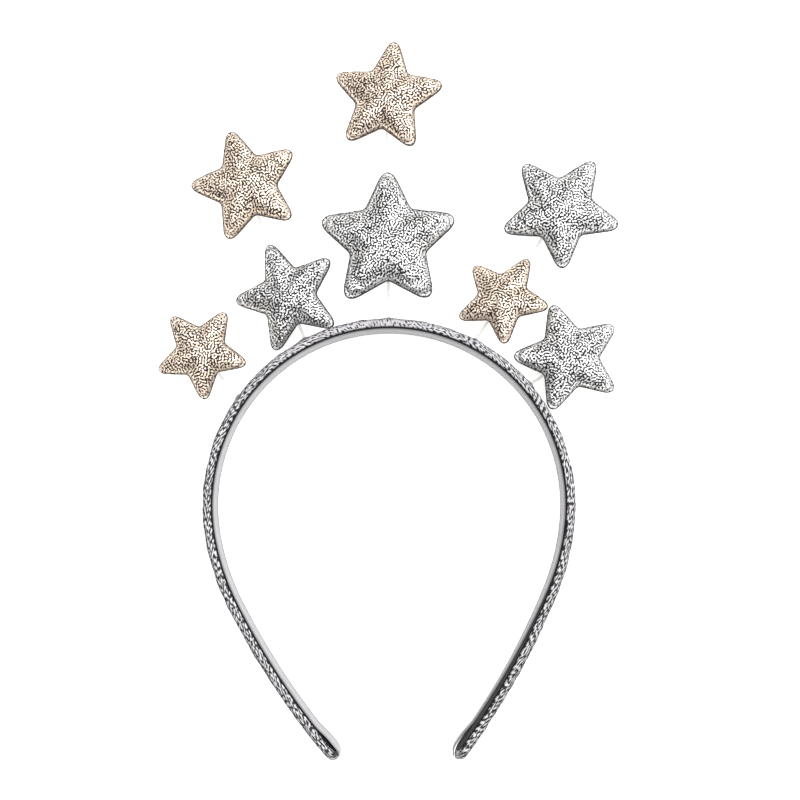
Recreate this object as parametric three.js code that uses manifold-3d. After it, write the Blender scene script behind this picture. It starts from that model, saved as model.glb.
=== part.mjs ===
// Star headband: a glitter-wrapped band with a grey lining, and padded stars on clear stems above its crown.
// Millimetres, +Z up. The band lies on its back edge: +Y runs from its ends to its crown, +X to its right.
import * as THREE from 'three';
import { mergeVertices } from 'three/addons/utils/BufferGeometryUtils.js';
import Module from 'manifold-3d';

// Band: the outer face is one half of tangent arcs, from the middle of the crown to the end, mirrored
const BAND_ARCS = [
  { part: 'crown', radius: 63.2, sweep: 98 },
  { part: 'temple', radius: 83, sweep: 17.3 },
  { part: 'leg', radius: 250, sweep: 14.55 },
];
const BAND_WIDTH = 12;
const BAND_THICKNESS = 2.8;
const BAND_STEPS = 56;
const BAND_END_ROUND = 5;
const END_STEP_ANGLES = [25, 50, 70, 85];

// Section of the band: shares of its thickness inwards from the outer face, and of its width up from the back edge
const BAND_SECTION = [
  { depth: 0.0, height: 0.5 },
  { depth: 0.04, height: 0.82 },
  { depth: 0.2, height: 0.96 },
  { depth: 0.42, height: 1.0 },
  { depth: 0.82, height: 1.0 },
  { depth: 1.0, height: 0.95 },
  { depth: 1.0, height: 0.05 },
  { depth: 0.82, height: 0.0 },
  { depth: 0.42, height: 0.0 },
  { depth: 0.2, height: 0.04 },
  { depth: 0.04, height: 0.18 },
];

// Lining: a ribbon on the inner face, whose front edge runs off towards the back edge along the right leg
const LINING_WIDTH = 9;
const LINING_THICKNESS = 1;
const LINING_SHORT = 1.5;
const LINING_END_ROUND = 1.5;
const LINING_RUN_OFF = 5.5;
const LINING_RUN_OFF_LENGTH = 85;
const LINING_SECTION = [
  { depth: 0, height: 0 },
  { depth: 0, height: 1 },
  { depth: 1, height: 1 },
  { depth: 1, height: 0 },
];

// Stems: seat is the angle round the crown where a stem leaves the band, aim is the way that it points
const STEMS = [
  { name: 'far_left', seat: 143, aim: 127.8 },
  { name: 'left', seat: 115.3, aim: 108.7 },
  { name: 'centre', seat: 88, aim: 88.4 },
  { name: 'right', seat: 59.8, aim: 54.6 },
  { name: 'far_right', seat: 37.7, aim: 32.7 },
];
const STEM_RADIUS = 0.5;
const STEM_SIDES = 10;
const STEM_FOOT = 1.5;
const STEM_STOP = 4;
const SEAT_HEIGHT = BAND_WIDTH / 2;
const SEAT_GAP = 0.3;
const BORE_RADIUS = (STEM_RADIUS + SEAT_GAP) / Math.cos(Math.PI / STEM_SIDES);

// Stars: reach is the distance of the centre along the stem, tip the radius of the five points, twist the turn
// about the stem with the right side up, and turn the slant of the star in its own plane
const STARS = [
  { name: 'gold_far_left', stem: 'far_left', reach: 20.3, tip: 16, twist: 8, turn: 0, fabric: 'gold' },
  { name: 'silver_left_low', stem: 'left', reach: 16.3, tip: 19.1, twist: 15.5, turn: 0, fabric: 'silver' },
  { name: 'gold_left', stem: 'left', reach: 58.1, tip: 19.5, twist: 8, turn: -4, fabric: 'gold' },
  { name: 'silver_centre', stem: 'centre', reach: 27.6, tip: 24.1, twist: 4, turn: -2.4, fabric: 'silver' },
  { name: 'gold_top', stem: 'centre', reach: 78.9, tip: 19.8, twist: 10, turn: -9, fabric: 'gold' },
  { name: 'gold_right', stem: 'right', reach: 17.5, tip: 16.2, twist: 20, turn: -1, fabric: 'gold' },
  { name: 'silver_right', stem: 'right', reach: 54.6, tip: 20.4, twist: 4, turn: -1.6, fabric: 'silver' },
  { name: 'silver_right_low', stem: 'far_right', reach: 16.5, tip: 18.8, twist: -2, turn: 0, fabric: 'silver' },
];
const STAR_POINTS = 5;
const NOTCH_SHARE = 0.545;
const TIP_ROUND_SHARE = 0.12;
const NOTCH_ROUND_SHARE = 0.06;
const TIP_STEPS = 4;
const NOTCH_STEPS = 2;
const STAR_THICKNESS_SHARE = 0.5;
const RIM_THICKNESS = 2;
const SURFACE_GAP = 0.3;

// Padding of a star: rings of its outline drawn in towards the centre, with the share of the padding's rise
// at each, and how far the ring has gone from a star to a circle
const PADDING_RINGS = [
  { size: 1.0, rise: 0.0, roundness: 0.0 },
  { size: 0.89, rise: 0.0, roundness: 0.0 },
  { size: 0.74, rise: 0.42, roundness: 0.04 },
  { size: 0.52, rise: 0.76, roundness: 0.2 },
  { size: 0.26, rise: 0.95, roundness: 0.5 },
];

const MATERIALS = {
  silver: new THREE.MeshStandardMaterial({ color: '#b9b8b8', roughness: 0.35, metalness: 0.8 }),
  gold: new THREE.MeshStandardMaterial({ color: '#d3bfa4', roughness: 0.35, metalness: 0.8 }),
  lining: new THREE.MeshStandardMaterial({ color: '#c4c3c6', roughness: 0.6, metalness: 0 }),
  clear: new THREE.MeshStandardMaterial({
    color: '#f4f6f6',
    roughness: 0.1,
    metalness: 0,
    opacity: 0.35,
    transparent: true,
  }),
};

const wasm = await Module();
wasm.setup();

const radians = THREE.MathUtils.degToRad;

function polar(radius, angle) {
  return new THREE.Vector2(radius * Math.cos(angle), radius * Math.sin(angle));
}

// Closed solid through rings of points, each end drawn together at a pole
function loft(rings, startPole, endPole) {
  const points = [startPole, ...rings.flat(), endPole];
  const sides = rings[0].length;
  const last = points.length - 1;
  const at = (ring, side) => 1 + ring * sides + (side % sides);
  const faces = [];
  for (let side = 0; side < sides; side += 1) {
    faces.push(0, at(0, side + 1), at(0, side));
    for (let ring = 0; ring < rings.length - 1; ring += 1) {
      faces.push(at(ring, side), at(ring, side + 1), at(ring + 1, side + 1));
      faces.push(at(ring, side), at(ring + 1, side + 1), at(ring + 1, side));
    }
    faces.push(last, at(rings.length - 1, side), at(rings.length - 1, side + 1));
  }
  const geometry = new THREE.BufferGeometry().setFromPoints(points);
  geometry.setIndex(faces);
  geometry.computeVertexNormals();
  return geometry;
}

function middle(ring) {
  const sum = ring.reduce((total, point) => total.add(point), new THREE.Vector3());
  return sum.divideScalar(ring.length);
}

function toSolid(geometry) {
  const bare = geometry.clone();
  bare.deleteAttribute('normal');
  bare.deleteAttribute('uv');
  const welded = mergeVertices(bare);
  const vertProperties = new Float32Array(welded.attributes.position.array);
  const triVerts = new Uint32Array(welded.index.array);
  return new wasm.Manifold(new wasm.Mesh({ numProp: 3, vertProperties, triVerts }));
}

// Cuts each tool out of a body
function cut(body, tools) {
  let solid = toSolid(body);
  for (const tool of tools) {
    solid = solid.subtract(toSolid(tool));
  }
  const mesh = solid.getMesh();
  const geometry = new THREE.BufferGeometry();
  geometry.setAttribute('position', new THREE.BufferAttribute(mesh.vertProperties, 3));
  geometry.setIndex(new THREE.BufferAttribute(mesh.triVerts, 1));
  geometry.computeVertexNormals();
  return geometry;
}

// Round rod on the Y axis between two distances
function rodBetween(start, end, radius) {
  const rod = new THREE.CylinderGeometry(radius, radius, end - start, STEM_SIDES);
  return rod.translate(0, (start + end) / 2, 0);
}

const BAND_HALF_LENGTH = BAND_ARCS.reduce((total, arc) => total + arc.radius * radians(arc.sweep), 0);

// Place on the band's outer face at a distance from the middle of the crown, and the way that it faces
function bandAt(distance) {
  const side = distance < 0 ? -1 : 1;
  const centre = new THREE.Vector2();
  let left = Math.abs(distance);
  let angle = Math.PI / 2;
  let radius = BAND_ARCS[0].radius;
  for (const arc of BAND_ARCS) {
    centre.add(polar(radius - arc.radius, angle));
    radius = arc.radius;
    const run = Math.min(left, radius * radians(arc.sweep));
    angle -= run / radius;
    left -= run;
  }
  const outward = polar(1, angle);
  const point = centre.addScaledVector(outward, radius);
  return {
    point: new THREE.Vector2(side * point.x, point.y),
    outward: new THREE.Vector2(side * outward.x, outward.y),
  };
}

// Strip swept along the band, its near face at a depth inside the outer face and its ends rounded across its
// width and its thickness; edgesAt gives the heights of its back and front edges along the band
function sweptStrip({ section, thickness, depth: nearDepth, halfLength, endRound, edgesAt }) {
  const straight = halfLength - endRound;
  const stations = [];
  for (let step = 0; step <= BAND_STEPS; step += 1) {
    stations.push({ distance: straight * (2 * step / BAND_STEPS - 1), trim: 0, fullness: 1 });
  }
  for (const angle of END_STEP_ANGLES.map(radians)) {
    const distance = straight + endRound * Math.sin(angle);
    const trim = endRound * (1 - Math.cos(angle));
    const toTip = Math.min(1, (halfLength - distance) / (thickness / 2));
    const fullness = Math.sqrt(1 - (1 - toTip) ** 2);
    stations.push({ distance, trim, fullness });
    stations.unshift({ distance: -distance, trim, fullness });
  }
  const rings = stations.map(({ distance, trim, fullness }) => {
    const { point, outward } = bandAt(distance);
    const { back, front } = edgesAt(distance);
    return section.map(({ depth, height }) => {
      const inwards = nearDepth + thickness * THREE.MathUtils.lerp(0.5, depth, fullness);
      const place = point.clone().addScaledVector(outward, -inwards);
      return new THREE.Vector3(place.x, place.y, THREE.MathUtils.lerp(back + trim, front - trim, height));
    });
  });
  return loft(rings, middle(rings[0]), middle(rings[rings.length - 1]));
}

function bandEdges() {
  return { back: 0, front: BAND_WIDTH };
}

function liningEdges(distance) {
  const back = (BAND_WIDTH - LINING_WIDTH) / 2;
  const runOffStart = BAND_HALF_LENGTH - LINING_RUN_OFF_LENGTH;
  const runOff = LINING_RUN_OFF * THREE.MathUtils.smoothstep(distance, runOffStart, BAND_HALF_LENGTH);
  return { back, front: back + LINING_WIDTH - runOff };
}

// Outline of a star with round tips and notches, its first tip on +Y
function starOutline(tip) {
  const tipRound = TIP_ROUND_SHARE * tip;
  const notchRound = NOTCH_ROUND_SHARE * tip;
  const step = 2 * Math.PI / STAR_POINTS;
  const tipCentre = new THREE.Vector2(tip - tipRound, 0);
  const notch = polar(NOTCH_SHARE * tip, step / 2);
  const slope = Math.atan2(notch.y, tipCentre.x - notch.x);
  const taper = slope - Math.asin(tipRound / tipCentre.distanceTo(notch));
  const notchReach = notch.length() + notchRound / Math.sin(step / 2 + taper);
  const outline = [];
  for (let point = 0; point < STAR_POINTS; point += 1) {
    const aim = Math.PI / 2 + point * step;
    const flank = Math.PI / 2 - taper;
    const tipPlace = polar(tipCentre.x, aim);
    const tipArc = new THREE.ArcCurve(tipPlace.x, tipPlace.y, tipRound, aim - flank, aim + flank, false);
    const notchPlace = polar(notchReach, aim + step / 2);
    const notchStart = aim + flank + Math.PI;
    const notchEnd = aim + step - flank + Math.PI;
    const notchArc = new THREE.ArcCurve(notchPlace.x, notchPlace.y, notchRound, notchStart, notchEnd, true);
    outline.push(...tipArc.getPoints(TIP_STEPS), ...notchArc.getPoints(NOTCH_STEPS));
  }
  return outline;
}

// Padded star in the XY plane: a flat pressed rim, and padding that swells to the middle on both faces
function paddedStar(tip) {
  const outline = starOutline(tip);
  const round = outline.reduce((total, point) => total + point.length(), 0) / outline.length;
  const rim = RIM_THICKNESS / 2;
  const padding = STAR_THICKNESS_SHARE * tip / 2 - rim;
  const front = PADDING_RINGS.map(({ size, rise, roundness }) => outline.map((point) => {
    const reach = size * THREE.MathUtils.lerp(point.length(), round, roundness);
    const place = polar(reach, point.angle());
    return new THREE.Vector3(place.x, place.y, rim + rise * padding);
  }));
  const back = front.map((ring) => ring.map((point) => new THREE.Vector3(point.x, point.y, -point.z)));
  const crown = new THREE.Vector3(0, 0, rim + padding);
  return loft([...back.reverse(), ...front], crown.clone().negate(), crown);
}

// Turn of a star in the group of its stem
function starTurn({ twist, turn }) {
  return new THREE.Euler(0, -radians(twist), radians(turn), 'YZX');
}

// How far a twisted star reaches below the stem that carries it
function starDrop(star) {
  const turned = paddedStar(star.tip).applyMatrix4(new THREE.Matrix4().makeRotationFromEuler(starTurn(star)));
  turned.computeBoundingBox();
  return -turned.boundingBox.min.z;
}

// Angle by which a stem rises from the band, so that its stars clear the surface that the band lies on
function stemRise(stars) {
  const rises = stars.map((star) => Math.asin((starDrop(star) + SURFACE_GAP - SEAT_HEIGHT) / star.reach));
  return Math.max(0, ...rises);
}

function namedMesh(name, geometry, material) {
  const mesh = new THREE.Mesh(geometry, material);
  mesh.name = name;
  return mesh;
}

// Group with +Y along a stem, holding the stem and its stars
function stemGroup({ name, seat, aim }) {
  const stars = STARS.filter((star) => star.stem === name);
  const lastReach = Math.max(...stars.map((star) => star.reach));
  const stemEnd = lastReach - STEM_STOP;
  const group = new THREE.Group();
  const seatPlace = polar(BAND_ARCS[0].radius, radians(seat));
  group.position.set(seatPlace.x, seatPlace.y, SEAT_HEIGHT);
  group.rotation.set(stemRise(stars), 0, radians(aim) - Math.PI / 2, 'ZXY');
  group.add(namedMesh(`stem_${name}`, rodBetween(-STEM_FOOT, stemEnd, STEM_RADIUS), MATERIALS.clear));
  for (const star of stars) {
    const mesh = namedMesh(`star_${star.name}`, paddedStar(star.tip), MATERIALS[star.fabric]);
    mesh.position.set(0, star.reach, 0);
    mesh.rotation.copy(starTurn(star));
    mesh.updateMatrix();
    const clear = star.tip + SEAT_GAP;
    const boreEnd = star.reach < lastReach ? star.reach + clear : stemEnd + SEAT_GAP;
    const bore = rodBetween(star.reach - clear, boreEnd, BORE_RADIUS);
    mesh.geometry = cut(mesh.geometry, [bore.applyMatrix4(mesh.matrix.clone().invert())]);
    group.add(mesh);
  }
  group.updateMatrix();
  return group;
}

// Blind hole for a stem's foot
function footSocket(group) {
  const socket = rodBetween(-STEM_FOOT - SEAT_GAP, BAND_THICKNESS, BORE_RADIUS);
  return socket.applyMatrix4(group.matrix);
}

const stems = STEMS.map(stemGroup);

const wrappedBand = sweptStrip({
  section: BAND_SECTION,
  thickness: BAND_THICKNESS,
  depth: 0,
  halfLength: BAND_HALF_LENGTH,
  endRound: BAND_END_ROUND,
  edgesAt: bandEdges,
});

const ribbon = sweptStrip({
  section: LINING_SECTION,
  thickness: LINING_THICKNESS,
  depth: BAND_THICKNESS + SEAT_GAP,
  halfLength: BAND_HALF_LENGTH - LINING_SHORT,
  endRound: LINING_END_ROUND,
  edgesAt: liningEdges,
});

const headband = new THREE.Group();
headband.add(namedMesh('band', cut(wrappedBand, stems.map(footSocket)), MATERIALS.silver));
headband.add(namedMesh('lining', ribbon, MATERIALS.lining));
headband.add(...stems);

// The origin is under the middle of the whole headband, on the surface that it lies on
headband.updateMatrixWorld(true);
const box = new THREE.Box3().setFromObject(headband, true);
const boxMiddle = box.getCenter(new THREE.Vector3());
headband.position.set(-boxMiddle.x, -boxMiddle.y, -box.min.z);

export default headband;
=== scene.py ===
"""Star headband: padded glitter stars on clear stems, a glitter-wrapped band and its lining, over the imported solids."""
import math

import bpy
import numpy as np
from bpy.props import FloatProperty, FloatVectorProperty, IntProperty, PointerProperty
from mathutils import Matrix, Vector


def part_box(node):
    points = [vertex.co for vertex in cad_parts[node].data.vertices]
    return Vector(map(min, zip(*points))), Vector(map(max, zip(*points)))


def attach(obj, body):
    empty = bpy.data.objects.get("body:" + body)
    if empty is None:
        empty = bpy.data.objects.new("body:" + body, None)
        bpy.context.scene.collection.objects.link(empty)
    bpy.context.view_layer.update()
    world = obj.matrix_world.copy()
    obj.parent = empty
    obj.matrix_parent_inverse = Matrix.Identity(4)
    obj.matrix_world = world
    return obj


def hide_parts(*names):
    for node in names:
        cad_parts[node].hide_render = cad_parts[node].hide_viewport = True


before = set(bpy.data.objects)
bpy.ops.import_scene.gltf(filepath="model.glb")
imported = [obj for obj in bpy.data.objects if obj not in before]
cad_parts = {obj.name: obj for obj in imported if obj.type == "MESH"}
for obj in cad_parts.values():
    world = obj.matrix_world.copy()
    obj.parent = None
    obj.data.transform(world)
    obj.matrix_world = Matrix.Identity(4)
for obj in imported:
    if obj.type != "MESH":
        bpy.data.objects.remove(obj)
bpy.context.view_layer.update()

bl_info = {
    "name": "Star Headband",
    "version": (1, 0, 0),
    "blender": (4, 5, 0),
    "location": "View3D > Sidebar > Headband",
    "description": "Makes the padded stars, glitter cover, lining, stems and stage of a star headband",
    "category": "Object",
}

MM = 0.001
BAND_LOW, BAND_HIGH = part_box("band")
LINING_LOW, LINING_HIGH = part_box("lining")
STAR_POINTS = 5
GOLD_STARS = ("gold_far_left", "gold_left", "gold_top", "gold_right")
SILVER_STARS = ("silver_right", "silver_right_low")
FULL_STARS = ("silver_centre",)
SLIM_STARS = ("silver_left_low",)
STEMS = ("far_left", "left", "centre", "right", "far_right")
# Each ring of the padding: its size as a share of the padding's foot, and its rise as a share of the padding's height
PADDING_RINGS = ((1, 0), (0.94, 0.32), (0.78, 0.58), (0.55, 0.82), (0.27, 0.96))
# Places nearer than this count as one
SAME_PLACE = 0.01 * MM
# Faces that meet at less than this are shaded as one
STRIP_CREASE = math.radians(40)
STEM_CREASE = math.radians(50)
CORE_EDGE = 0.1 * MM
FLOOR_DROP = 0.2 * MM
# Place, aim and width of each softbox, in metres
TOP_SOFTBOX = ((-0.8, 0.1, 3), (-0.8, 0.1, 0), 4.2)
KEY_SOFTBOX = ((2.6, 1.4, 2.2), (0, 0, 0), 2.4)


def linear(hex_colour):
    """Linear red, green and blue of an sRGB hex colour."""
    channels = [int(hex_colour[place:place + 2], 16) / 255 for place in (1, 3, 5)]
    return tuple(c / 12.92 if c <= 0.04045 else ((c + 0.055) / 1.055) ** 2.4 for c in channels)


def length(name, description, millimetres):
    """A length that a user can set, with its default in millimetres."""
    return FloatProperty(name=name, description=description, default=millimetres * MM, precision=5,
                         subtype="DISTANCE", unit="LENGTH")


def share(name, description, default):
    """A share that a user can set."""
    return FloatProperty(name=name, description=description, default=default, subtype="FACTOR")


def angle(name, description, degrees):
    """An angle that a user can set, with its default in degrees."""
    return FloatProperty(name=name, description=description, default=math.radians(degrees),
                         subtype="ANGLE", unit="ROTATION")


def colour(name, description, hex_colour):
    """A colour that a user can set, with its default as sRGB hex."""
    return FloatVectorProperty(name=name, description=description, default=linear(hex_colour), size=3,
                               subtype="COLOR", min=0, max=1)


class StarSettings(bpy.types.PropertyGroup):
    """Sizes of the padded stars that are copied"""
    tip: length("Tip radius", "Reach of the five points of the star that is copied", 20)
    notch: share("Notch", "Reach of the notches, as a share of the tip radius", 0.575)
    full_notch: share("Full notch", "Reach of the notches of the large centre star, whose arms are fuller", 0.59)
    slim_notch: share("Slim notch", "Reach of the notches of the low left star, whose arms are slimmer", 0.55)
    tip_round: share("Tip round", "Radius of the round tips, as a share of the tip radius", 0.16)
    notch_round: share("Notch round", "Bevel of the notches, as a share of the tip radius", 0.05)
    rim_thickness: length("Rim thickness", "Thickness of the two faces where they are pressed together", 1.2)
    rim_size: share("Rim size", "Size of the padding's foot, as a share of the outline", 0.93)
    cut_edge: length("Cut edge", "Width of the bare backing along the cut edge of the rim", 0.31)
    half_thickness: length("Half thickness", "Height of the padding above the middle of the rim", 4.6)
    overhang: share("Overhang", "How far the cut edge stands out past the packed star, as a share of the tip radius",
                    0.012)
    voxel: length("Voxel", "Grid of the cloth", 0.6)
    pressure: FloatProperty(name="Pressure", description="Pressure that swells the cloth", default=12)
    slack: share("Slack", "Share by which the cloth is cut larger than the padding", 0.015)
    most_swell: length("Most swell", "Furthest that a point of the cloth may move", 1.2)
    frames: IntProperty(name="Frames", description="Length of the cloth simulation", default=20, min=2)


class BandSettings(bpy.types.PropertyGroup):
    """Sizes of the band, its lining and its stems"""
    crown_radius: length("Crown radius", "Radius of the outer face over the crown", 63.2)
    crown_sweep: angle("Crown sweep", "Half angle of the crown's arc", 98)
    temple_radius: length("Temple radius", "Radius of the outer face at the temples", 83)
    temple_sweep: angle("Temple sweep", "Angle of the temple's arc", 17.3)
    leg_radius: length("Leg radius", "Radius of the outer face along the legs", 250)
    leg_sweep: angle("Leg sweep", "Angle of the leg's arc", 14.55)
    thickness: length("Thickness", "Thickness of the wrapped band", 3.4)
    inset: length("Inset", "How far the fabric is drawn in from the packed outer face", 0.35)
    left_shorter: length("Left shorter", "How much the left leg stops short of the packed end", 0.9)
    right_longer: length("Right longer", "How much the right leg reaches past the packed end", 1.0)
    end_round: length("End round", "Radius of the round ends across the width", 5)
    end_taper: share("End taper", "Thickness of the cover at its very ends, as a share of its thickness", 0.6)
    end_taper_length: length("End taper length", "Length over which the cover's ends are drawn in", 2.4)
    outer_round: length("Outer round", "Bevel of the outer edges of the cover", 1.0)
    inner_round: length("Inner round", "Bevel of the inner edges of the cover", 0.3)
    pressed: share("Pressed", "How flat the fabric's crumbs are drawn over the crown", 0.9)
    cross_reach: length("Cross reach", "Reach from the crown's middle of the fabric that is pulled across the band", 14)
    cross_pull: share("Cross pull", "How far the fabric is pulled across the band at the crown's middle", 0.74)
    cross_gather: share("Cross gather", "How far the fabric is gathered along the band at the crown's middle", 1.5)
    cross_press: share("Cross press", "How much flatter the crumbs are drawn where the fabric is pulled across", 0.3)
    cover_voxel: length("Cover voxel", "Grid of the cover's surface", 0.45)
    lump: length("Lump", "Width of the lumps in the cover", 4.5)
    lump_depth: length("Lump depth", "Depth of the lumps in the cover", 0.7)
    tent_radius: length("Tent radius", "Reach of the lift in the cover round a stem", 6)
    tent_height: length("Tent height", "Height of the lift in the cover round a stem", 0.9)
    core_proud: length("Core proud", "How far the core stands out of the cover's inner face", 0.3)
    core_margin: length("Core margin", "Distance of the core's edges from the band's edges", 0.35)
    core_short: length("Core short", "Distance of the core's ends from the band's ends", 2.2)
    lining_depth: length("Lining depth", "Distance of the lining's near face from the outer face", 3.75)
    lining_thickness: length("Lining thickness", "Thickness of the lining ribbon", 0.5)
    lining_short: length("Lining short", "Distance of the lining's ends from the band's ends", -0.2)
    lining_round: length("Lining round", "Radius of the lining's corners", 4.5)
    run_off: length("Run-off", "How far the lining's front edge runs off at the right end", 6.5)
    run_off_length: length("Run-off length", "Length over which the lining's front edge runs off", 85)
    turn_up: length("Turn-up", "Length of the lining that turns up across the right end", 1.2)
    stand_off: length("Stand-off", "How far the lining bellies off the core near its ends", 0.6)
    stand_off_place: length("Stand-off place", "Distance of the bellies from the lining's ends", 5.5)
    stand_off_length: length("Stand-off length", "Length over which the lining bellies off", 7)
    wrap: length("Wrap", "How far the lining's ends turn out round the ends of the cover", 0.9)
    wrap_length: length("Wrap length", "Length over which the lining's ends turn out", 3)
    step: length("Step", "Length of the facets along the bent strips", 1)
    stem_radius: length("Stem radius", "Radius of the clear stems", 0.5)


class FinishSettings(bpy.types.PropertyGroup):
    """Colours and pattern sizes of the finishes"""
    silver_crest: colour("Silver crest", "Colour of the crests of the silver crumbs", "#f4f3f3")
    silver_flank: colour("Silver flank", "Colour of the flanks of the silver crumbs", "#e7e6e6")
    silver_gap: colour("Silver gap", "Colour of the backing between the silver crumbs", "#0d0c0e")
    pulled_crest: colour("Pulled crest", "Colour of the crests of the crumbs round the band", "#c2c1c3")
    pulled_flank: colour("Pulled flank", "Colour of the flanks of the crumbs round the band", "#a19fa3")
    pulled_gap: colour("Pulled gap", "Colour of the backing between the crumbs round the band", "#131214")
    gold_crest: colour("Gold crest", "Colour of the crests of the champagne gold crumbs", "#ffeeda")
    gold_flank: colour("Gold flank", "Colour of the flanks of the champagne gold crumbs", "#f8e5d3")
    gold_gap: colour("Gold gap", "Colour of the backing between the gold crumbs", "#24170f")
    crumb: length("Crumb", "Distance from one glitter crumb to the next", 1.0)
    pulled_crumb: length("Pulled crumb", "Distance from one crumb to the next across the pull of the band's fabric",
                         0.66)
    crinkle: length("Crinkle", "Width of a crinkle in the glitter fabric", 1.4)
    crinkle_depth: length("Crinkle depth", "Depth of a crinkle in the glitter fabric", 0.14)
    pull: FloatProperty(name="Pull", description="How far the gaps are drawn out round the band", default=3.8)
    pull_turn: angle("Pull turn", "Slant of the drawn-out gaps", 10)
    lining: colour("Lining", "Colour of the satin ribbon", "#868389")
    # The pale colour is painted light towards the front edge, and the edge colour is a painted shade line along the
    # back edge
    lining_painted_light: colour("Lining pale", "Colour of the satin ribbon towards its front edge", "#929094")
    lining_edge_shade: colour("Lining edge", "Colour of the satin ribbon's woven edge", "#3c3a3e")
    back_edge_shade: length("Selvedge", "Height of the satin ribbon's woven back edge", 2.6)
    # The core's black is partly its own colour and partly painted shade in the gap between cover and lining
    core: colour("Core", "Colour of the moulded core", "#0a0909")
    stem: colour("Stem", "Colour of the clear stems", "#d3d4d4")
    floor: colour("Floor", "Colour of the paper floor", "#fafaf7")


class StageSettings(bpy.types.PropertyGroup):
    """Camera and light of the stage"""
    lens: FloatProperty(name="Lens", description="Focal length on a 36 mm sensor", default=50,
                        subtype="DISTANCE_CAMERA")
    camera: FloatVectorProperty(name="Camera", description="Place of the camera from the crown's centre",
                                default=(3.65 * MM, -1.55 * MM, 386.44 * MM), subtype="TRANSLATION", unit="LENGTH")
    tilt: angle("Tilt", "Lean of the view from straight down towards the stars", 5.5)
    roll: angle("Roll", "Turn of the view about its own axis", 2.2)
    floor_size: length("Floor size", "Width of the floor", 12000)
    world: FloatProperty(name="Surround", description="Strength of the light from all round", default=0.8)
    top_light: FloatProperty(name="Top light", description="Power of the softbox overhead, in watts", default=108)
    key_light: FloatProperty(name="Key light", description="Power of the softbox at the right, in watts", default=60)


def only(piece):
    """Makes one piece the selected and active one, in object mode."""
    if bpy.context.mode != "OBJECT":
        bpy.ops.object.mode_set(mode="OBJECT")
    bpy.ops.object.select_all(action="DESELECT")
    piece.select_set(True)
    bpy.context.view_layer.objects.active = piece


def choose(piece, element, test):
    """Goes into edit mode with the vertices, edges or faces that pass a test selected."""
    only(piece)
    bpy.ops.object.mode_set(mode="EDIT")
    bpy.ops.mesh.select_mode(type=element)
    bpy.ops.mesh.select_all(action="DESELECT")
    bpy.ops.object.mode_set(mode="OBJECT")
    mesh = piece.data
    for item in {"VERT": mesh.vertices, "EDGE": mesh.edges, "FACE": mesh.polygons}[element]:
        item.select = test(item)
    bpy.ops.object.mode_set(mode="EDIT")


def apply_modifier(piece, kind, **settings):
    """Adds a modifier, sets it and applies it."""
    only(piece)
    bpy.ops.object.modifier_add(type=kind)
    modifier = piece.modifiers[-1]
    for name, value in settings.items():
        setattr(modifier, name, value)
    bpy.ops.object.modifier_apply(modifier=modifier.name)


def voxel_remesh(piece, size):
    """Rebuilds a piece's surface on an even grid."""
    only(piece)
    piece.data.remesh_voxel_size = size
    bpy.ops.object.voxel_remesh()


def soft_edit(falloff, reach):
    """Settings of a transform that fades out over a reach from what is selected."""
    return {"use_proportional_edit": True, "proportional_edit_falloff": falloff, "proportional_size": reach}


def places(piece):
    """Places of a piece's vertices."""
    return np.array([vertex.co for vertex in piece.data.vertices])


def mark(piece, name, values):
    """Gives each vertex of a piece a value that its material reads."""
    piece.data.attributes.new(name, "FLOAT", "POINT").data.foreach_set("value", values)


def corners(node):
    """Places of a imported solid's corners, each one once."""
    return np.unique(places(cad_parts[node]).round(7), axis=0)


def crown_centre(band):
    """Centre of the crown's arc, on the ground."""
    return Vector(((BAND_LOW.x + BAND_HIGH.x) / 2, BAND_HIGH.y - band.crown_radius, 0))


def crinkle(piece, finish, group=""):
    """Presses the crinkles of the glitter fabric into a piece: low domes with creases between them."""
    texture = bpy.data.textures.new("crinkles", "VORONOI")
    texture.noise_scale = finish.crinkle
    texture.weight_1 = -1
    texture.weight_2 = 1
    apply_modifier(piece, "DISPLACE", texture=texture, texture_coords="LOCAL", direction="NORMAL",
                   strength=finish.crinkle_depth, mid_level=0.4, vertex_group=group)


def dress(piece, material, replaces=()):
    """Gives a finished piece its material, hangs it on the root body, and hides the imported solids that it replaces.
    """
    piece.data.materials.clear()
    piece.data.materials.append(material)
    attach(piece, "root")
    if replaces:
        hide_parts(*replaces)


def add_node(tree, kind, inputs=None, **settings):
    """Adds a shader node, sets its own settings, and fills its inputs with values or with other nodes' outputs."""
    made = tree.nodes.new(kind)
    for name, value in settings.items():
        setattr(made, name, value)
    for name, value in (inputs or {}).items():
        if isinstance(value, bpy.types.NodeSocket):
            tree.links.new(value, made.inputs[name])
        else:
            made.inputs[name].default_value = value
    return made


def new_material(name):
    """A node material and its shader."""
    material = bpy.data.materials.new(name)
    material.use_nodes = True
    return material, material.node_tree, material.node_tree.nodes["Principled BSDF"]


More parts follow.
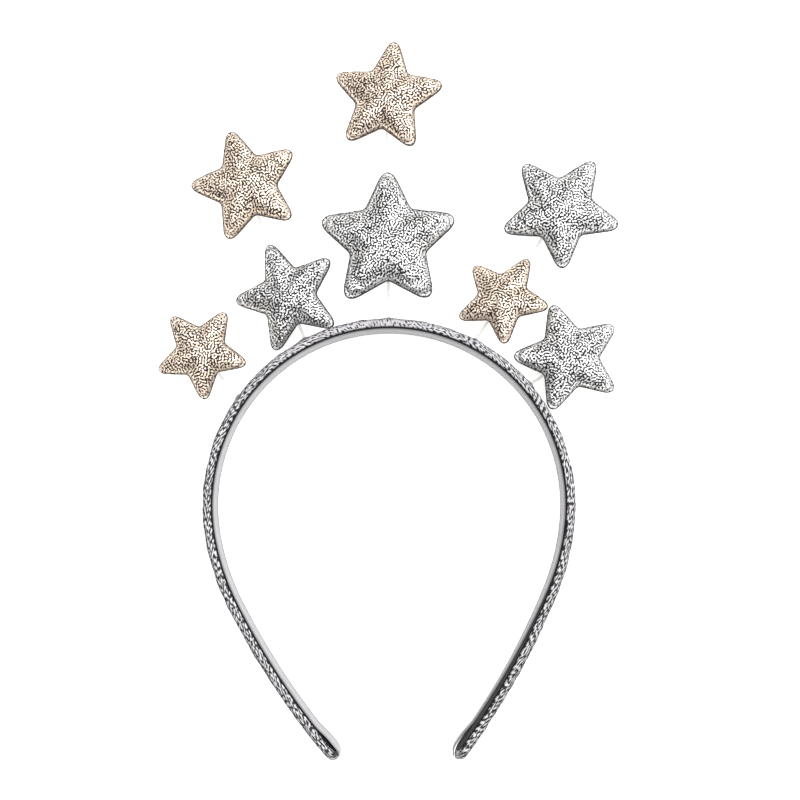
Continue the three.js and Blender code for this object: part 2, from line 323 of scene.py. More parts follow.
def glitter_fabric(name, crest, flank, gap, crumb, finish, wrapped=False):
    """Film glitter bonded to a knit: bright crumbs close together, with short crooked gaps down to the dark backing."""
    # The crumbs are satin mirrors, so the padding's slopes show as light and shade under a mesh of dark strokes
    # Sizes in crumbs: a cell of the pattern, a tear in a crumb's edge, and a drift of thinner places
    cell, tear, drift = 2.4, 0.5, 4
    # How much the tears, the drift and the heat press raise the film
    tear_rise, drift_rise, press_rise = 0.7, 0.1, 0.12
    # Heights of the film where it starts and is whole, and where its crests start and are whole
    film_starts, film_whole, crest_starts, crest_whole = 0.89, 0.965, 0.86, 1.14
    press_dulls, film_metal = 0.7, 0.85
    material, tree, shader = new_material(name)
    place = add_node(tree, "ShaderNodeTexCoord").outputs["Object"]
    if wrapped:
        # Round the band the fabric is pulled askew, so its gaps are drawn out and slanting
        flat = add_node(tree, "ShaderNodeAttribute", attribute_name="flat").outputs["Vector"]
        place = add_node(tree, "ShaderNodeMapping", {"Vector": flat, "Rotation": (0, 0, finish.pull_turn),
                                                     "Scale": (finish.pull, 1, 1)}, vector_type="TEXTURE").outputs[0]
    rows = add_node(tree, "ShaderNodeTexGabor", {"Vector": place, "Scale": 1 / (cell * crumb), "Frequency": cell,
                                                 "Anisotropy": 0.0}).outputs["Value"]
    ragged = add_node(tree, "ShaderNodeTexNoise", {"Vector": place, "Scale": 1 / (tear * crumb), "Detail": 0.0})
    crumbs = add_node(tree, "ShaderNodeMath", {0: ragged.outputs["Fac"], 1: tear_rise, 2: rows},
                      operation="MULTIPLY_ADD").outputs[0]
    thin = add_node(tree, "ShaderNodeTexNoise", {"Vector": place, "Scale": 1 / (drift * crumb), "Detail": 1.0})
    pressed = add_node(tree, "ShaderNodeAttribute", attribute_name="pressed").outputs["Fac"]
    filled = add_node(tree, "ShaderNodeMath", {0: pressed, 1: press_rise, 2: crumbs}, operation="MULTIPLY_ADD")
    filled = add_node(tree, "ShaderNodeMath", {0: thin.outputs["Fac"], 1: drift_rise, 2: filled.outputs[0]},
                      operation="MULTIPLY_ADD").outputs[0]
    cover = add_node(tree, "ShaderNodeMapRange", {"Value": filled, "From Min": film_starts, "From Max": film_whole},
                     interpolation_type="SMOOTHSTEP").outputs["Result"]
    # The backing mark darkens the film: the bare cut edge of the stars, and painted shade in the creases
    backing = add_node(tree, "ShaderNodeAttribute", attribute_name="backing")
    whole = add_node(tree, "ShaderNodeMath", {0: cover, 1: backing.outputs["Fac"]}, operation="SUBTRACT",
                     use_clamp=True).outputs[0]
    top = add_node(tree, "ShaderNodeMapRange", {"Value": crumbs, "From Min": crest_starts, "From Max": crest_whole},
                   interpolation_type="SMOOTHSTEP").outputs["Result"]
    # Where the film is pressed flat, it is duller
    lively = add_node(tree, "ShaderNodeMath", {0: pressed, 1: -press_dulls, 2: 1.0},
                      operation="MULTIPLY_ADD").outputs[0]
    top = add_node(tree, "ShaderNodeMath", {0: top, 1: lively}, operation="MULTIPLY").outputs[0]
    film = add_node(tree, "ShaderNodeMix", {0: top, 6: (*flank, 1), 7: (*crest, 1)}, data_type="RGBA").outputs[2]
    base = add_node(tree, "ShaderNodeMix", {0: whole, 6: (*gap, 1), 7: film}, data_type="RGBA")
    relief = add_node(tree, "ShaderNodeBump", {"Strength": 0.6, "Distance": 0.1 * crumb, "Height": crumbs})
    metal = add_node(tree, "ShaderNodeMapRange", {"Value": whole, "To Min": 0.0, "To Max": film_metal})
    tree.links.new(base.outputs[2], shader.inputs["Base Color"])
    tree.links.new(metal.outputs["Result"], shader.inputs["Metallic"])
    tree.links.new(relief.outputs["Normal"], shader.inputs["Normal"])
    shader.inputs["Roughness"].default_value = 0.46
    shader.inputs["Specular IOR Level"].default_value = 0.3
    return material


def satin_ribbon(finish):
    """Woven polyester satin ribbon: fine ribs across it give a soft sheen along its length; a painted shade line runs
    along its back edge, and painted light makes it paler towards its front edge.
    """
    material, tree, shader = new_material("woven_satin_ribbon")
    # The real ribs are about 0.3 mm apart, too fine to show, so they are drawn 0.9 mm apart
    # At a scale of 1 a wave texture has a band every tenth of pi
    rib, wave_band, cloud = 0.9 * MM, math.pi / 10, 7 * MM
    edge_starts, edge_ends = finish.back_edge_shade, 1.4 * finish.back_edge_shade
    along = add_node(tree, "ShaderNodeUVMap", uv_map="Along").outputs["UV"]
    ribs = add_node(tree, "ShaderNodeTexWave", {"Vector": along, "Scale": wave_band / rib, "Distortion": 0.6,
                                                "Detail": 1.0}, bands_direction="X")
    mottle = add_node(tree, "ShaderNodeTexNoise", {"Vector": along, "Scale": 1 / cloud, "Detail": 3.0})
    tone = add_node(tree, "ShaderNodeMapRange", {"Value": mottle.outputs["Fac"], "To Min": 0.78, "To Max": 1.12})
    # Painted shade darkens a line along the back edge, where the ribbon meets the floor, and painted light makes the
    # ribbon paler towards its front edge, where the cover shades it
    across = add_node(tree, "ShaderNodeSeparateXYZ", {"Vector": along}).outputs["Y"]
    shaded = add_node(tree, "ShaderNodeMapRange", {"Value": across, "From Min": edge_starts, "From Max": edge_ends},
                     interpolation_type="SMOOTHSTEP")
    pale = add_node(tree, "ShaderNodeMapRange", {"Value": across, "From Min": edge_starts, "From Max": BAND_HIGH.z})
    cloth = add_node(tree, "ShaderNodeMix", {0: pale.outputs["Result"], 6: (*finish.lining, 1),
                                             7: (*finish.lining_painted_light, 1)}, data_type="RGBA")
    shaded_cloth = add_node(tree, "ShaderNodeMix", {0: shaded.outputs["Result"], 6: (*finish.lining_edge_shade, 1),
                                             7: cloth.outputs[2]}, data_type="RGBA").outputs[2]
    base = add_node(tree, "ShaderNodeVectorMath", {0: shaded_cloth, "Scale": tone.outputs["Result"]}, operation="SCALE")
    relief = add_node(tree, "ShaderNodeBump",
                      {"Strength": 0.35, "Distance": 0.05 * MM, "Height": ribs.outputs["Fac"]})
    tree.links.new(base.outputs[0], shader.inputs["Base Color"])
    tree.links.new(relief.outputs["Normal"], shader.inputs["Normal"])
    shader.inputs["Roughness"].default_value = 0.45
    shader.inputs["Sheen Weight"].default_value = 0.08
    return material


def core_with_gap_shade(finish):
    """Injection-moulded ABS: black, with the faint unevenness of a moulded face; its black also serves as painted shade
    in the gap between cover and lining.
    """
    flow_mark = 3 * MM
    material, tree, shader = new_material("moulded_abs_gap_shade")
    place = add_node(tree, "ShaderNodeTexCoord").outputs["Object"]
    flow = add_node(tree, "ShaderNodeTexNoise", {"Vector": place, "Scale": 1 / flow_mark, "Detail": 3.0})
    rough = add_node(tree, "ShaderNodeMapRange", {"Value": flow.outputs["Fac"], "To Min": 0.6, "To Max": 0.8})
    relief = add_node(tree, "ShaderNodeBump",
                      {"Strength": 0.2, "Distance": 0.05 * MM, "Height": flow.outputs["Fac"]})
    tree.links.new(rough.outputs["Result"], shader.inputs["Roughness"])
    tree.links.new(relief.outputs["Normal"], shader.inputs["Normal"])
    shader.inputs["Base Color"].default_value = (*finish.core, 1)
    shader.inputs["Specular IOR Level"].default_value = 0.15
    return material


def clear_rod(finish):
    """Extruded clear nylon rod: glassy, with a faint uneven haze, so that it hardly shows."""
    haze_patch = 2 * MM
    material, tree, shader = new_material("extruded_clear_nylon")
    place = add_node(tree, "ShaderNodeTexCoord").outputs["Object"]
    haze = add_node(tree, "ShaderNodeTexNoise", {"Vector": place, "Scale": 1 / haze_patch, "Detail": 2.0})
    rough = add_node(tree, "ShaderNodeMapRange", {"Value": haze.outputs["Fac"], "To Min": 0.02, "To Max": 0.12})
    tree.links.new(rough.outputs["Result"], shader.inputs["Roughness"])
    shader.inputs["Base Color"].default_value = (*finish.stem, 1)
    shader.inputs["Transmission Weight"].default_value = 1.0
    shader.inputs["IOR"].default_value = 1.35
    return material


def paper_floor(finish):
    """Matt studio paper: near white, with a hardly visible fibre."""
    # The real fibres are well under 1 mm long, too fine to show, so they are drawn 4 mm long
    fibre_length = 4 * MM
    material, tree, shader = new_material("matt_studio_paper")
    place = add_node(tree, "ShaderNodeTexCoord").outputs["Object"]
    fibre = add_node(tree, "ShaderNodeTexNoise", {"Vector": place, "Scale": 1 / fibre_length, "Detail": 4.0})
    relief = add_node(tree, "ShaderNodeBump",
                      {"Strength": 0.05, "Distance": 0.05 * MM, "Height": fibre.outputs["Fac"]})
    tree.links.new(relief.outputs["Normal"], shader.inputs["Normal"])
    shader.inputs["Base Color"].default_value = (*finish.floor, 1)
    shader.inputs["Roughness"].default_value = 0.9
    shader.inputs["Specular IOR Level"].default_value = 0.2
    shader.inputs["Emission Color"].default_value = (*finish.floor, 1)
    shader.inputs["Emission Strength"].default_value = 0.5
    return material


def star_blank(star, notch_share):
    """Outline of a star with round tips and notches, drawn in ring by ring into a padded half and mirrored."""
    half_step = math.pi / STAR_POINTS
    tip_centre = 1 - star.tip_round
    notch = Vector((notch_share * math.cos(half_step), notch_share * math.sin(half_step)))
    flank = Vector((tip_centre, 0)) - notch
    taper = math.atan2(notch.y, flank.x) - math.asin(star.tip_round / flank.length)
    sharp = tip_centre + star.tip_round / math.sin(taper)
    bpy.ops.object.select_all(action="DESELECT")
    bpy.ops.mesh.primitive_circle_add(vertices=2 * STAR_POINTS, radius=sharp * star.tip, fill_type="NOTHING")
    blank = bpy.context.object
    choose(blank, "VERT", lambda vertex: vertex.index % 2 == 1)
    pull = notch_share / sharp
    bpy.ops.transform.resize(value=(pull, pull, 1), center_override=(0, 0, 0))
    between = (notch_share + sharp) / 2 * star.tip
    choose(blank, "VERT", lambda vertex: vertex.co.length > between)
    bpy.ops.mesh.bevel(offset=star.tip_round / math.tan(taper) * star.tip, segments=8, affect="VERTICES")
    notch_reach = 1.01 * notch_share * star.tip
    choose(blank, "VERT", lambda vertex: vertex.co.length < notch_reach)
    bpy.ops.mesh.bevel(offset=star.notch_round * star.tip, segments=3, affect="VERTICES")
    bpy.ops.object.mode_set(mode="OBJECT")
    reach = max(vertex.co.length for vertex in blank.data.vertices)
    choose(blank, "VERT", lambda vertex: True)
    bpy.ops.transform.resize(value=(star.tip / reach, star.tip / reach, 1), center_override=(0, 0, 0))
    bpy.ops.object.mode_set(mode="OBJECT")
    outline = np.array([[blank.data.vertices[end].co.to_2d() for end in edge.vertices] for edge in blank.data.edges])
    bpy.ops.object.mode_set(mode="EDIT")
    rim = star.rim_thickness / 2
    padding = star.half_thickness - rim
    size, height = 1, 0
    for ring_size, rise in ((1, 0), *((ring * star.rim_size, rise) for ring, rise in PADDING_RINGS)):
        ring_height = rim + rise * padding
        bpy.ops.mesh.extrude_region_move(TRANSFORM_OT_translate={"value": (0, 0, ring_height - height)})
        bpy.ops.transform.resize(value=(ring_size / size, ring_size / size, 1), center_override=(0, 0, 0))
        size, height = ring_size, ring_height
    bpy.ops.mesh.extrude_region_move(TRANSFORM_OT_translate={"value": (0, 0, star.half_thickness - height)})
    bpy.ops.mesh.merge(type="CENTER")
    bpy.ops.object.mode_set(mode="OBJECT")
    apply_modifier(blank, "MIRROR", use_axis=(False, False, True), merge_threshold=SAME_PLACE)
    choose(blank, "VERT", lambda vertex: True)
    bpy.ops.mesh.normals_make_consistent(inside=False)
    bpy.ops.object.mode_set(mode="OBJECT")
    voxel_remesh(blank, star.voxel)
    return blank, outline


def swell(pad, star):
    """Swells a padded star as cloth held by its rim, no point moving further than the most swell."""
    rim = pad.vertex_groups.new(name="rim")
    held = star.rim_thickness / 2 + star.voxel / 6
    rim.add([vertex.index for vertex in pad.data.vertices if abs(vertex.co.z) < held], 1.0, "REPLACE")
    start = [vertex.co.copy() for vertex in pad.data.vertices]
    only(pad)
    bpy.ops.object.modifier_add(type="CLOTH")
    cloth = pad.modifiers[-1]
    cloth.point_cache.frame_start = 1
    cloth.point_cache.frame_end = star.frames
    fabric = cloth.settings
    fabric.quality = 6
    fabric.tension_stiffness = fabric.compression_stiffness = fabric.shear_stiffness = 15
    fabric.bending_stiffness = 2
    fabric.use_pressure = True
    fabric.uniform_pressure_force = star.pressure
    fabric.shrink_min = -star.slack
    fabric.vertex_group_mass = rim.name
    fabric.effector_weights.gravity = 0
    for step in range(1, star.frames + 1):
        bpy.context.scene.frame_set(step)
    bpy.ops.object.modifier_apply(modifier=cloth.name)
    bpy.context.scene.frame_set(1)
    for vertex, place in zip(pad.data.vertices, start):
        move = vertex.co - place
        if move.length > star.most_swell:
            vertex.co = place + move.normalized() * star.most_swell


def mark_fabric(pad, star, outline):
    """Marks where the fabric is pressed flat, where its backing shows along the cut edge, where painted shade darkens
    the crease round the padding's foot, and how deep its crinkles go.
    """
    # Heights above the star's middle, with the rim's top at 1: where the press ends and how far it fades, the middle
    # and half width of the crease round the padding's foot, and where the crinkles reach their full depth
    press_ends, press_fades, crease_middle, crease_half, crinkles_start = 4.2, 2.8, 1.4, 0.4, 1.1
    # How bare the backing is along the cut edge, how dark the painted shade in the crease is, and how much of the
    # crinkles the rim keeps
    cut_bare, crease_shade, rim_crinkles = 0.95, 0.8, 0.2
    apply_modifier(pad, "SUBSURF", levels=1, render_levels=1)
    grow = (1 + star.overhang) * star.tip / max(vertex.co.to_2d().length for vertex in pad.data.vertices)
    pad.data.transform(Matrix.Diagonal((grow, grow, 1, 1)))
    outline = (1 + star.overhang) * outline
    points = places(pad)
    from_edge = np.full(len(points), np.inf)
    for start, end in outline:
        off = points[:, :2] - start
        run = np.clip(off @ (end - start) / ((end - start) @ (end - start)), 0, 1)
        from_edge = np.minimum(from_edge, np.linalg.norm(off - run[:, None] * (end - start), axis=1))
    height = np.abs(points[:, 2]) / (star.rim_thickness / 2)
    mark(pad, "pressed", np.clip((press_ends - height) / press_fades, 0, 1))
    cut = np.clip(2 - from_edge / star.cut_edge, 0, 1)
    crease = np.clip(1 - np.abs(height - crease_middle) / crease_half, 0, 1)
    # The backing mark carries the bare cut edge and the painted shade in the crease
    mark(pad, "backing", np.maximum(cut_bare * cut, crease_shade * crease))
    depth = pad.vertex_groups.new(name="crinkles")
    for group, weight in ((height < crinkles_start, rim_crinkles), (height >= crinkles_start, 1)):
        depth.add(np.flatnonzero(group).tolist(), weight, "REPLACE")


def star_place(node, tip):
    """Where a packed star lies, as the move from a flat star of a tip radius onto it."""
    points = corners(node)
    centre = points.mean(0)
    # The middle of the smallest ball round the star, found by stepping ever less towards the furthest corner
    for step in range(2, 2000):
        arms = points - centre
        centre = centre + arms[(arms ** 2).sum(1).argmax()] / step
    arms = points - centre
    reach = np.linalg.norm(arms, axis=1)
    arms = arms[reach > 0.96 * reach.max()]
    normal = Vector(np.linalg.svd(arms)[2][2])
    normal *= math.copysign(1, normal.z)
    first = arms[arms[:, 1].argmax()]
    near = arms[arms @ first > 0.9 * first @ first]
    up = Vector(near.mean(0))
    up = (up - up.dot(normal) * normal).normalized()
    size = max(Vector(arm).dot(up) for arm in near) / tip
    turn = Matrix((up.cross(normal), up, normal)).transposed().to_4x4()
    return Matrix.Translation(centre) @ turn @ Matrix.Scale(size, 4)


class HEADBAND_OT_padded_stars(bpy.types.Operator):
    """Makes a padded star of each cut, swells it as cloth, and sets a crinkled copy on each packed star"""
    bl_idname = "headband.padded_stars"
    bl_label = "Padded stars"

    def execute(self, context):
        star = context.scene.headband_star
        finish = context.scene.headband_finish
        silver = glitter_fabric("silver_film_glitter", finish.silver_crest, finish.silver_flank, finish.silver_gap,
                                finish.crumb, finish)
        gold = glitter_fabric("champagne_film_glitter", finish.gold_crest, finish.gold_flank, finish.gold_gap,
                              finish.crumb, finish)
        cuts = ((star.notch, GOLD_STARS + SILVER_STARS), (star.full_notch, FULL_STARS), (star.slim_notch, SLIM_STARS))
        for notch, names in cuts:
            pattern, outline = star_blank(star, notch)
            swell(pattern, star)
            mark_fabric(pattern, star, outline)
            for name in names:
                only(pattern)
                bpy.ops.object.duplicate()
                piece = context.object
                piece.name = f"padded_star_{name}"
                piece.data.transform(star_place(f"star_{name}", star.tip))
                crinkle(piece, finish, "crinkles")
                bpy.ops.object.shade_smooth()
                if name in GOLD_STARS:
                    dress(piece, gold, (f"star_{name}",))
                else:
                    dress(piece, silver, (f"star_{name}",))
            bpy.data.objects.remove(pattern)
        return {"FINISHED"}


def band_place(band, distance):
    """Place on the band's outer face at a distance from the middle of the crown, to the right or, below 0, left."""
    arcs = ((band.crown_radius, band.crown_sweep), (band.temple_radius, band.temple_sweep),
            (band.leg_radius, band.leg_sweep))
    centre = crown_centre(band).to_2d()
    side = math.copysign(1, distance)
    left = abs(distance)
    turned = 0
    last = band.crown_radius
    for radius, sweep in arcs:
        centre += (last - radius) * Vector((side * math.sin(turned), math.cos(turned)))
        last = radius
        run = min(left, radius * sweep)
        turned += run / radius
        left -= run
    return centre + last * Vector((side * math.sin(turned), math.cos(turned)))


def half_length(band):
    """Length of the outer face from the middle of the crown to an end."""
    return (band.crown_radius * band.crown_sweep + band.temple_radius * band.temple_sweep
            + band.leg_radius * band.leg_sweep)


def bend_to_band(piece, band):
    """Bends a straight piece along the band: X becomes the way from the left end, Y the way out of its outer face."""
    half = half_length(band)
    steps = round(2 * half / (0.5 * band.step))
    line = bpy.data.curves.new("band_line", "CURVE")
    line.dimensions = "2D"
    spline = line.splines.new("POLY")
    spline.points.add(steps)
    for step, point in enumerate(spline.points):
        place = band_place(band, half * (2 * step / steps - 1))
        point.co = (place.x, place.y, 0, 1)
    guide = bpy.data.objects.new("band_line", line)
    bpy.context.scene.collection.objects.link(guide)
    apply_modifier(piece, "CURVE", object=guide, deform_axis="POS_X")
    bpy.data.objects.remove(guide)


def straight_bar(name, low, high):
    """Bar between two corners, not yet bent."""
    bpy.ops.object.select_all(action="DESELECT")
    bpy.ops.mesh.primitive_cube_add(size=1)
    bar = bpy.context.object
    bar.name = name
    bpy.ops.object.mode_set(mode="EDIT")
    bpy.ops.transform.resize(value=high - low, center_override=(0, 0, 0))
    bpy.ops.transform.translate(value=(low + high) / 2)
    bpy.ops.object.mode_set(mode="OBJECT")
    return bar


def round_ends(bar, radius):
    """Rounds a bar's four corners across its width."""
    points = bar.data.vertices

    def across(edge):
        ends = [points[index].co for index in edge.vertices]
        return abs(ends[0].y - ends[1].y) > max(abs(ends[0].x - ends[1].x), abs(ends[0].z - ends[1].z))

    choose(bar, "EDGE", across)
    bpy.ops.mesh.bevel(offset=radius, segments=8, affect="EDGES")
    bpy.ops.object.mode_set(mode="OBJECT")


def bevel_face(bar, depth, size, segments):
    """Bevels the edges round the face of a bar that lies at a depth."""
    points = bar.data.vertices
    choose(bar, "EDGE", lambda edge: all(abs(points[index].co.y - depth) < SAME_PLACE for index in edge.vertices))
    bpy.ops.mesh.bevel(offset=size, segments=segments, affect="EDGES")
    bpy.ops.object.mode_set(mode="OBJECT")


def cut_across(bar, step):
    """Cuts a bar across at every step, so that it can bend."""
    choose(bar, "FACE", lambda face: True)
    xs = [vertex.co.x for vertex in bar.data.vertices]
    place = min(xs) + step
    while place < max(xs):
        bpy.ops.mesh.select_all(action="SELECT")
        bpy.ops.mesh.bisect(plane_co=(place, 0, 0), plane_no=(1, 0, 0))
        place += step
    bpy.ops.object.mode_set(mode="OBJECT")


def stem_ends(name):
    """The two ends of a packed stem's axis, the foot first."""
    points = corners(f"stem_{name}")
    axis = np.linalg.svd(points - points.mean(0))[2][0]
    along = (points - points.mean(0)) @ axis
    ends = [points[np.isclose(along, limit, atol=2 * SAME_PLACE)].mean(0) for limit in (along.min(), along.max())]
    return sorted(map(Vector, ends), key=lambda end: end.y)


class HEADBAND_OT_glitter_cover(bpy.types.Operator):
    """Wraps the band in glitter fabric, lifted a little round each stem"""
    bl_idname = "headband.glitter_cover"
    bl_label = "Glitter cover"

    def execute(self, context):
        band = context.scene.headband_band
        finish = context.scene.headband_finish
        half = half_length(band)
        cover = straight_bar("glitter_cover", Vector((band.left_shorter, -band.thickness, BAND_LOW.z)),
                             Vector((2 * half + band.right_longer, -band.inset, BAND_HIGH.z)))
        round_ends(cover, band.end_round)
        bevel_face(cover, -band.inset, band.outer_round, 4)
        bevel_face(cover, -band.thickness, band.inner_round, 3)
        tents = []
        for name in STEMS:
            foot = stem_ends(name)[0] - crown_centre(band)
            way = half + band.crown_radius * math.atan2(foot.x, foot.y)
            bpy.ops.object.select_all(action="DESELECT")
            bpy.ops.mesh.primitive_cone_add(vertices=24, radius1=band.tent_radius, radius2=band.stem_radius,
                                            depth=2 * band.tent_height, rotation=(-math.pi / 2, 0, 0),
                                            location=(way, 0, foot.z))
            tents.append(context.object)
        only(cover)
        for tent in tents:
            tent.select_set(True)
        bpy.ops.object.join()
        voxel_remesh(cover, band.cover_voxel)
        apply_modifier(cover, "SMOOTH", factor=0.5, iterations=4)
        for end in (band.left_shorter, 2 * half + band.right_longer):
            choose(cover, "VERT", lambda vertex: abs(vertex.co.x - end) < band.cover_voxel)
            middle = (end, -(band.thickness + band.inset) / 2, 0)
            bpy.ops.transform.resize(value=(1, band.end_taper, 1), center_override=middle,
                                     **soft_edit("SHARP", band.end_taper_length))
        bpy.ops.object.mode_set(mode="OBJECT")
        # The inner face lies flat on the core, so only the rest is lumpy and crinkled
        free = cover.vertex_groups.new(name="free")
        inner = band.inner_round - band.thickness
        free.add([vertex.index for vertex in cover.data.vertices if vertex.co.y > inner], 1.0, "REPLACE")
        lumps = bpy.data.textures.new("lumps", "CLOUDS")
        lumps.noise_scale = band.lump
        apply_modifier(cover, "DISPLACE", texture=lumps, texture_coords="LOCAL", strength=band.lump_depth,
                       mid_level=0.5, vertex_group=free.name)
        crinkle(cover, finish, free.name)
        points = places(cover)
        # At the crown's middle the fabric is pulled across the band and gathered along it
        from_crown = (points[:, 0] - half) / band.cross_reach
        along = points[:, 0] + band.cross_gather * band.cross_reach * np.tanh(from_crown)
        crossed = 1 / np.cosh(from_crown) ** 2
        across = (1 - band.cross_pull * crossed) * (points[:, 2] - points[:, 1] - BAND_HIGH.z)
        flat = cover.data.attributes.new("flat", "FLOAT_VECTOR", "POINT")
        flat.data.foreach_set("vector", np.column_stack((along, across, 0 * along)).ravel())
        # Painted shade darkens the fabric where it turns over the front and back edges
        inwards, side, deep = (part * band.outer_round for part in (0.7, 0.3, 0.25))
        crease_width, crease_shade = 1.6, 0.75
        from_edges = np.minimum(BAND_HIGH.z - points[:, 2], points[:, 2] - BAND_LOW.z)
        crease = np.clip(crease_width - np.abs(from_edges - inwards) / side, 0, 1)
        crease *= np.clip(2 + (points[:, 1] + band.inset) / deep, 0, 1)
        # On the cover the backing mark is painted shade only
        mark(cover, "backing", crease_shade * crease)
        # It is drawn flat over the crown, and ever less so towards the legs
        loosens, least = 1.4, 0.15
        slack = np.abs(points[:, 0] - half) / (band.crown_radius * band.crown_sweep)
        drawn = band.pressed * np.clip(1 - loosens * slack, least, 1) + band.cross_press * crossed
        mark(cover, "pressed", drawn)
        bend_to_band(cover, band)
        bpy.ops.object.shade_smooth()
        fabric = glitter_fabric("silver_film_glitter_pulled", finish.pulled_crest, finish.pulled_flank,
                                finish.pulled_gap, finish.pulled_crumb, finish, wrapped=True)
        dress(cover, fabric, ("band",))
        return {"FINISHED"}


class HEADBAND_OT_band_core(bpy.types.Operator):
    """Shows the dark moulded core inside the cover, on the inner face of the band; its black also serves as painted
    shade in the gap between cover and lining
    """
    bl_idname = "headband.band_core"
    bl_label = "Band core"

    def execute(self, context):
        band = context.scene.headband_band
        half = half_length(band)
        margin = band.core_margin
        low = Vector((band.left_shorter + band.core_short, -band.thickness - band.core_proud, BAND_LOW.z + margin))
        high = Vector((2 * half + band.right_longer - band.core_short, -band.thickness / 2, BAND_HIGH.z - margin))
        core = straight_bar("core_with_gap_shade", low, high)
        round_ends(core, band.end_round - margin)
        bevel_face(core, low.y, CORE_EDGE, 2)
        cut_across(core, band.step)
        bend_to_band(core, band)
        bpy.ops.object.shade_smooth_by_angle(angle=STRIP_CREASE)
        dress(core, core_with_gap_shade(context.scene.headband_finish))
        return {"FINISHED"}


class HEADBAND_OT_lining(bpy.types.Operator):
    """Lays the satin ribbon on the inner face, its front edge running off along the right leg"""
    bl_idname = "headband.lining"
    bl_label = "Lining"

    def execute(self, context):
        band = context.scene.headband_band
        half = half_length(band)
        end = 2 * half + band.right_longer - band.lining_short
        start = band.left_shorter + band.lining_short
        low = Vector((start, -band.lining_depth - band.lining_thickness, LINING_LOW.z))
        high = Vector((end, -band.lining_depth, LINING_HIGH.z))
        ribbon = straight_bar("satin_lining", low, high)
        round_ends(ribbon, band.lining_round)
        bevel_face(ribbon, low.y, 0.25 * band.lining_thickness, 3)
        cut_across(ribbon, band.step)
        # Where the front edge runs off, more of the black core shows, as painted shade on the right leg's inner face
        choose(ribbon, "VERT", lambda vertex: vertex.co.x > end - band.lining_round)
        left = 1 - band.run_off / (high.z - low.z)
        bpy.ops.transform.resize(value=(1, 1, left), center_override=low,
                                 **soft_edit("SMOOTH", band.run_off_length))

        def from_end(vertex):
            return min(vertex.co.x - start, end - vertex.co.x)

        choose(ribbon, "VERT", lambda vertex: abs(from_end(vertex) - band.stand_off_place) < 1.5 * band.step)
        bpy.ops.transform.translate(value=(0, -band.stand_off, 0), **soft_edit("SMOOTH", band.stand_off_length))
        choose(ribbon, "VERT", lambda vertex: from_end(vertex) < 0.5 * band.step)
        bpy.ops.transform.translate(value=(0, band.wrap, 0), **soft_edit("SHARP", band.wrap_length))
        # The turned-up end reaches nearly the ribbon's full width again
        regained = 0.9
        choose(ribbon, "VERT", lambda vertex: vertex.co.x > end - band.turn_up)
        bpy.ops.transform.resize(value=(1, 1, regained / left), center_override=low)
        bpy.ops.object.mode_set(mode="OBJECT")
        along = ribbon.data.uv_layers.new(name="Along")
        for loop in ribbon.data.loops:
            place = ribbon.data.vertices[loop.vertex_index].co
            along.data[loop.index].uv = (place.x, place.z)
        bend_to_band(ribbon, band)
        bpy.ops.object.shade_smooth_by_angle(angle=STRIP_CREASE)
        dress(ribbon, satin_ribbon(context.scene.headband_finish), ("lining",))
        return {"FINISHED"}


class HEADBAND_OT_clear_stems(bpy.types.Operator):
    """Makes the clear stems that carry the stars"""
    bl_idname = "headband.clear_stems"
    bl_label = "Clear stems"

    def execute(self, context):
        radius = context.scene.headband_band.stem_radius
        material = clear_rod(context.scene.headband_finish)
        for name in STEMS:
            foot, top = stem_ends(name)
            axis = top - foot
            bpy.ops.object.select_all(action="DESELECT")
            bpy.ops.mesh.primitive_cylinder_add(vertices=24, radius=radius, depth=axis.length)
            stem = context.object
            stem.name = f"clear_stem_{name}"
            points = stem.data.vertices
            choose(stem, "EDGE", lambda edge: points[edge.vertices[0]].co.z * points[edge.vertices[1]].co.z > 0)
            bpy.ops.mesh.bevel(offset=0.3 * radius, segments=3, affect="EDGES")
            bpy.ops.object.mode_set(mode="OBJECT")
            turn = axis.to_track_quat("Z", "Y").to_matrix().to_4x4()
            stem.data.transform(Matrix.Translation((foot + top) / 2) @ turn)
            bpy.ops.object.shade_smooth_by_angle(angle=STEM_CREASE)
            dress(stem, material, (f"stem_{name}",))
        return {"FINISHED"}


def add_softbox(name, place, aim, size, power):
    """Square soft light that shines from a place to an aim."""
    light = bpy.data.lights.new(name, "AREA")
    light.size = size
    light.energy = power
    lamp = bpy.data.objects.new(name, light)
    lamp.location = place
    lamp.rotation_euler = (Vector(aim) - Vector(place)).to_track_quat("-Z", "Y").to_euler()
    lamp.visible_camera = False
    bpy.context.scene.collection.objects.link(lamp)


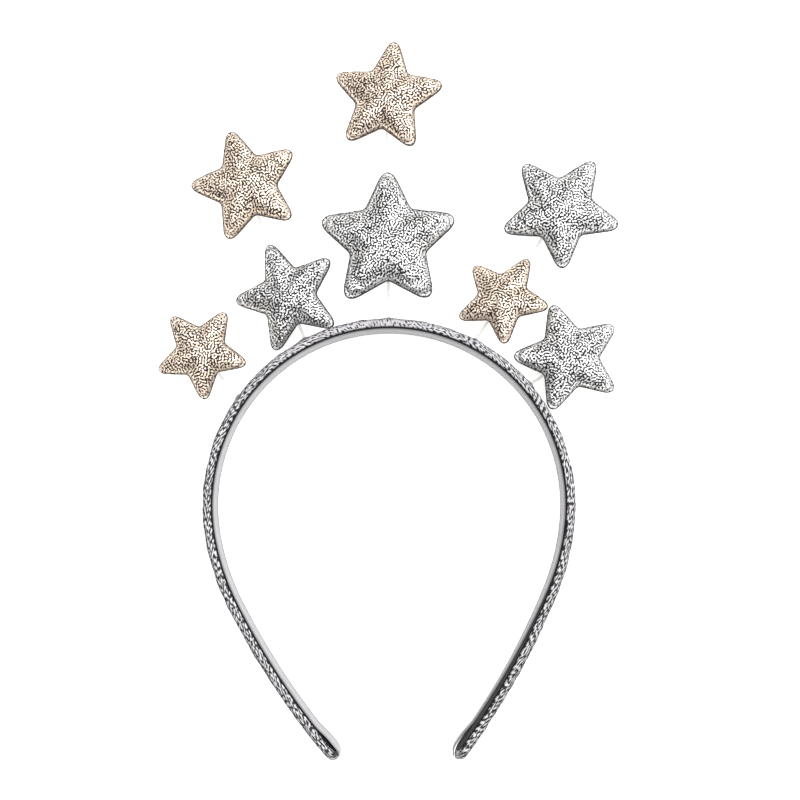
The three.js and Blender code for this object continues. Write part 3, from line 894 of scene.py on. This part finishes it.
class HEADBAND_OT_stage(bpy.types.Operator):
    """Sets the paper floor, the soft lights and the camera"""
    bl_idname = "headband.stage"
    bl_label = "Stage"

    def execute(self, context):
        scene = context.scene
        stage = scene.headband_stage
        band = scene.headband_band
        bpy.ops.object.select_all(action="DESELECT")
        bpy.ops.mesh.primitive_plane_add(size=stage.floor_size, location=(0, 0, -FLOOR_DROP))
        floor = context.object
        floor.name = "paper_floor"
        bpy.ops.object.transform_apply(location=True)
        floor.data.materials.append(paper_floor(scene.headband_finish))
        add_softbox("top_softbox", *TOP_SOFTBOX, stage.top_light)
        add_softbox("key_softbox", *KEY_SOFTBOX, stage.key_light)
        # The surround is brighter on the key light's side, and brighter still where the camera sees it past the floor
        bright_way, reach = (0.9, 0.44, 0), 0.9
        dim, bright, seen_strength = 0.3 * stage.world, 1.7 * stage.world, 2 * stage.world
        world = bpy.data.worlds.new("studio")
        world.use_nodes = True
        tree = world.node_tree
        way = add_node(tree, "ShaderNodeTexCoord").outputs["Generated"]
        side = add_node(tree, "ShaderNodeVectorMath", {0: way, 1: bright_way}, operation="DOT_PRODUCT")
        shade = add_node(tree, "ShaderNodeMapRange", {"Value": side.outputs["Value"], "From Min": -reach,
                                                      "From Max": reach, "To Min": dim, "To Max": bright})
        seen = add_node(tree, "ShaderNodeLightPath").outputs["Is Camera Ray"]
        backdrop = add_node(tree, "ShaderNodeMix", {0: seen, 2: shade.outputs["Result"], 3: seen_strength}).outputs[0]
        tree.links.new(backdrop, tree.nodes["Background"].inputs["Strength"])
        tree.nodes["Background"].inputs["Color"].default_value = (1, 1, 1, 1)
        scene.world = world
        up = Vector((math.sin(stage.roll), math.cos(stage.roll), 0))
        down = Vector((0, 0, -1))
        forward = math.cos(stage.tilt) * down + math.sin(stage.tilt) * up
        top = math.cos(stage.tilt) * up - math.sin(stage.tilt) * down
        camera = bpy.data.objects.new("camera", bpy.data.cameras.new("camera"))
        camera.data.lens = stage.lens
        camera.data.clip_start = 10 * MM
        turn = Matrix((forward.cross(top), top, -forward)).transposed().to_4x4()
        camera.matrix_world = Matrix.Translation(crown_centre(band) + Vector(stage.camera)) @ turn
        scene.collection.objects.link(camera)
        scene.camera = camera
        scene.view_settings.view_transform = "Standard"
        return {"FINISHED"}


OPERATORS = (HEADBAND_OT_stage, HEADBAND_OT_padded_stars, HEADBAND_OT_glitter_cover, HEADBAND_OT_band_core,
             HEADBAND_OT_lining, HEADBAND_OT_clear_stems)


class HEADBAND_PT_sidebar(bpy.types.Panel):
    """Lists the pieces of the headband and their settings"""
    bl_idname = "HEADBAND_PT_sidebar"
    bl_label = "Star Headband"
    bl_space_type = "VIEW_3D"
    bl_region_type = "UI"
    bl_category = "Headband"

    def draw(self, context):
        for operator in OPERATORS:
            self.layout.operator(operator.bl_idname)
        for name in SETTINGS:
            box = self.layout.box()
            settings = getattr(context.scene, name)
            for prop in settings.__annotations__:
                box.prop(settings, prop)


SETTINGS = {
    "headband_star": StarSettings,
    "headband_band": BandSettings,
    "headband_finish": FinishSettings,
    "headband_stage": StageSettings,
}


def register():
    for settings in SETTINGS.values():
        bpy.utils.register_class(settings)
    for cls in (*OPERATORS, HEADBAND_PT_sidebar):
        bpy.utils.register_class(cls)
    for name, settings in SETTINGS.items():
        setattr(bpy.types.Scene, name, PointerProperty(type=settings))


def unregister():
    for name in SETTINGS:
        delattr(bpy.types.Scene, name)
    for cls in (HEADBAND_PT_sidebar, *reversed(OPERATORS), *SETTINGS.values()):
        bpy.utils.unregister_class(cls)


def main():
    register()
    bpy.ops.headband.stage()
    bpy.ops.headband.padded_stars()
    bpy.ops.headband.glitter_cover()
    bpy.ops.headband.band_core()
    bpy.ops.headband.lining()
    bpy.ops.headband.clear_stems()


if __name__ == "__main__":
    main()
